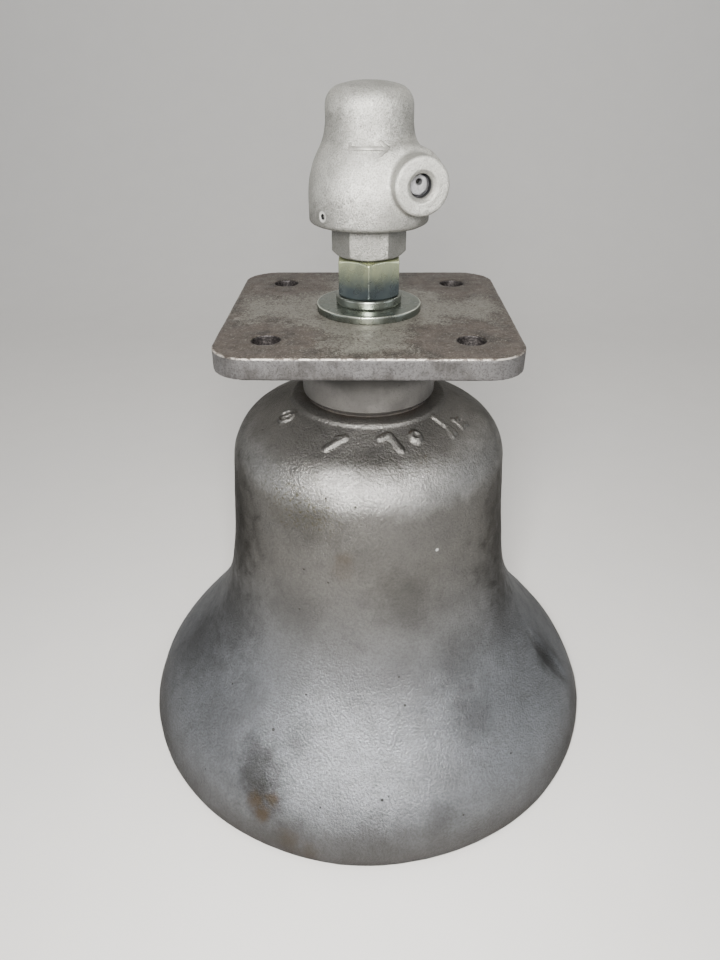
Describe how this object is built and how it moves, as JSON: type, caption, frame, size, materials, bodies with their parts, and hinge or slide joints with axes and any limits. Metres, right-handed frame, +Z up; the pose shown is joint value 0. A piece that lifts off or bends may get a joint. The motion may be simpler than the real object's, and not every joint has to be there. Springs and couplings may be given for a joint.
{
  "type": "air-operated bell",
  "caption": "Cast flared bell hung from a square four-hole mounting plate by a hollow stud, with an air-driven ringer head on top and a hinged clapper inside.",
  "frame": {"origin": "centre of the bell's mouth plane, which is the plane the rim stands on", "axes": "+Z up along the bell's axis; the air inlet looks 14 degrees to the +X side of -Y; the clapper swings towards +X"},
  "size_m": [0.3048, 0.3048, 0.39],
  "materials": {
    "bell_paint": "silver paint over rough sand casting",
    "spacer_metal": "matte blasted",
    "plate_metal": "mottled, worn silver overspray",
    "zinc": "zinc plated with a yellow-green tint",
    "head_casting": "blasted casting",
    "bronze": "turned",
    "fibre": "pressed fibre gasket",
    "seal_rubber": "matte",
    "bright_steel": "ground",
    "spring_steel": "oiled",
    "forged_steel": "black forged",
    "ball_iron": "as cast"
  },
  "bodies": {
    "hung_bell": {"bell": "bell_paint", "collar_gasket": "fibre", "collar": "spacer_metal", "mounting_plate": "plate_metal", "flat_washer": "zinc", "lock_washer": "zinc", "stem_nut": "zinc", "stem": "zinc", "inner_washer": "zinc", "jam_nut": "zinc", "rod_bush": "bronze", "hex_cap": "head_casting", "cap_gasket": "fibre", "cylinder_liner": "bronze", "housing": "head_casting", "clapper_bracket": "forged_steel", "pivot_pin": "bright_steel", "pin_clips": "spring_steel", "return_spring": "spring_steel"},
    "clapper": {"clapper_arm": "forged_steel", "pivot_bush": "bronze", "clapper_ball": "ball_iron", "ball_nut": "zinc"},
    "ringer_piston": {"piston": "bronze", "piston_seal": "seal_rubber", "push_rod": "bright_steel", "rod_nut": "zinc"}
  },
  "joints": [
    {"name": "clapper_swing", "type": "hinge", "parent": "hung_bell", "child": "clapper", "pos_m": [0.022, 0, 0.178], "axis": [0, -1, 0], "range_deg": [0, 25.3], "stiffness_Nm_per_rad": 0.67, "springref_deg": -26.93},
    {"name": "piston_slide", "type": "slide", "parent": "hung_bell", "child": "ringer_piston", "axis": [0, 0, -1], "range_m": [0, 0.0095], "deforming": ["return_spring"]}
  ],
  "couplings": [
    {"joint": "piston_slide", "follows": "clapper_swing", "m_per_rad": 0.02126}
  ]
}
